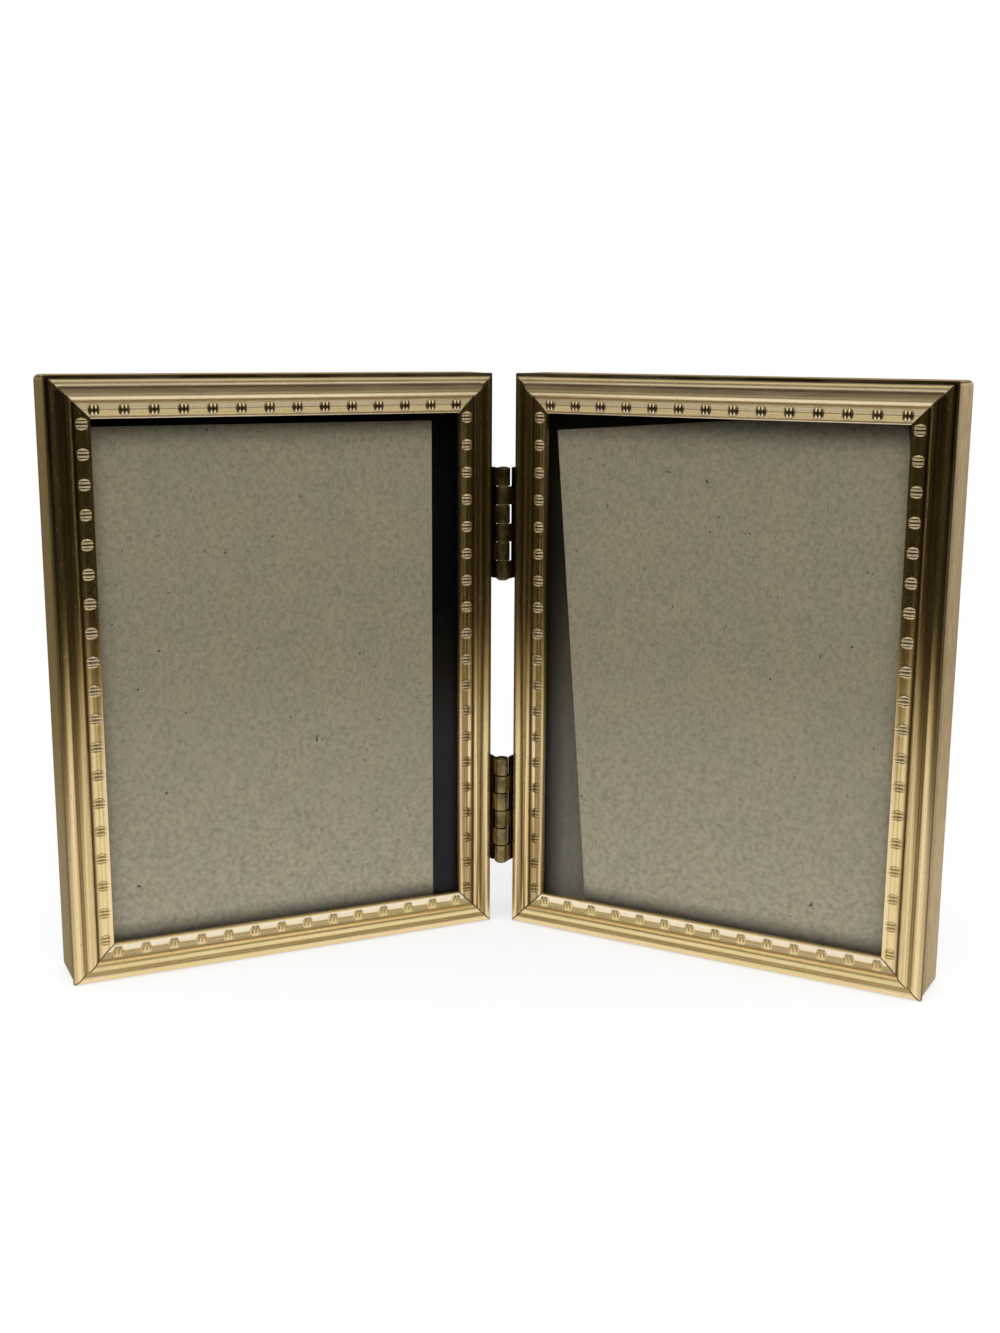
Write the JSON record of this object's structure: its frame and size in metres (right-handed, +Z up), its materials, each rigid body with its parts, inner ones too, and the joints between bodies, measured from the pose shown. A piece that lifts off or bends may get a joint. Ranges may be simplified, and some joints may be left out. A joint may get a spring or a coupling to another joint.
{
  "type": "hinged double photo frame",
  "caption": "Two mitred brass photo frames with a border of small reels, glazed and backed, joined by butt hinges to stand open or fold shut like a book.",
  "frame": {"origin": "on the table under the middle of the standing frame's box", "axes": "+X to the right along the open width, +Y from the viewer to the back, +Z up along the hinge pins"},
  "size_m": [0.2968, 0.0864, 0.2],
  "materials": {
    "moulding_brass": "polished",
    "hinge_brass": "satin",
    "plain_steel": "satin",
    "clear_glass": "polished",
    "chipboard": "matte",
    "black_board": "matte"
  },
  "bodies": {
    "left_frame": {"left_top_rail": "moulding_brass", "left_bottom_rail": "moulding_brass", "left_outer_stile": "moulding_brass", "left_hinge_stile": "moulding_brass", "left_corner_plates": "plain_steel", "left_glass_pane": "clear_glass", "left_filler_card": "chipboard", "left_back_panel": "black_board", "left_button_rivets": "plain_steel", "left_hinge_rivets": "hinge_brass", "upper_hinge_left_leaf": "hinge_brass", "lower_hinge_left_leaf": "hinge_brass", "upper_hinge_pin": "hinge_brass", "lower_hinge_pin": "hinge_brass"},
    "right_frame": {"right_top_rail": "moulding_brass", "right_bottom_rail": "moulding_brass", "right_outer_stile": "moulding_brass", "right_hinge_stile": "moulding_brass", "right_corner_plates": "plain_steel", "right_glass_pane": "clear_glass", "right_filler_card": "chipboard", "right_back_panel": "black_board", "right_button_rivets": "plain_steel", "right_hinge_rivets": "hinge_brass", "upper_hinge_right_leaf": "hinge_brass", "lower_hinge_right_leaf": "hinge_brass", "right_backing_card": "chipboard"},
    "left_top_turn_button": {"left_top_turn_button": "plain_steel"},
    "left_bottom_turn_button": {"left_bottom_turn_button": "plain_steel"},
    "left_outer_turn_button": {"left_outer_turn_button": "plain_steel"},
    "left_hinge_turn_button": {"left_hinge_turn_button": "plain_steel"},
    "right_top_turn_button": {"right_top_turn_button": "plain_steel"},
    "right_bottom_turn_button": {"right_bottom_turn_button": "plain_steel"},
    "right_outer_turn_button": {"right_outer_turn_button": "plain_steel"},
    "right_hinge_turn_button": {"right_hinge_turn_button": "plain_steel"}
  },
  "joints": [
    {"name": "panel_fold", "type": "hinge", "parent": "left_frame", "child": "right_frame", "pos_m": [0, 0.02341, 0.1], "axis": [0, 0, 1], "range_deg": [-126.5, 53.5]},
    {"name": "left_top_button_turn", "type": "hinge", "parent": "left_frame", "child": "left_top_turn_button", "pos_m": [-0.0775, 0.00276, 0.1958], "axis": [-0.4501, 0.893, 0], "range_deg": [-90, 90]},
    {"name": "left_bottom_button_turn", "type": "hinge", "parent": "left_frame", "child": "left_bottom_turn_button", "pos_m": [-0.0775, 0.00276, 0.0042], "axis": [-0.4501, 0.893, 0], "range_deg": [-90, 90]},
    {"name": "left_outer_button_turn", "type": "hinge", "parent": "left_frame", "child": "left_outer_turn_button", "pos_m": [-0.14162, -0.02956, 0.1], "axis": [-0.4501, 0.893, 0], "range_deg": [-90, 90]},
    {"name": "left_hinge_button_turn", "type": "hinge", "parent": "left_frame", "child": "left_hinge_turn_button", "pos_m": [-0.01339, 0.03508, 0.1], "axis": [-0.4501, 0.893, 0], "range_deg": [-90, 90]},
    {"name": "right_top_button_turn", "type": "hinge", "parent": "right_frame", "child": "right_top_turn_button", "pos_m": [0.0775, 0.00276, 0.1958], "axis": [0.4501, 0.893, 0], "range_deg": [-90, 90]},
    {"name": "right_bottom_button_turn", "type": "hinge", "parent": "right_frame", "child": "right_bottom_turn_button", "pos_m": [0.0775, 0.00276, 0.0042], "axis": [0.4501, 0.893, 0], "range_deg": [-90, 90]},
    {"name": "right_outer_button_turn", "type": "hinge", "parent": "right_frame", "child": "right_outer_turn_button", "pos_m": [0.14162, -0.02956, 0.1], "axis": [0.4501, 0.893, 0], "range_deg": [-90, 90]},
    {"name": "right_hinge_button_turn", "type": "hinge", "parent": "right_frame", "child": "right_hinge_turn_button", "pos_m": [0.01339, 0.03508, 0.1], "axis": [0.4501, 0.893, 0], "range_deg": [-90, 90]}
  ]
}
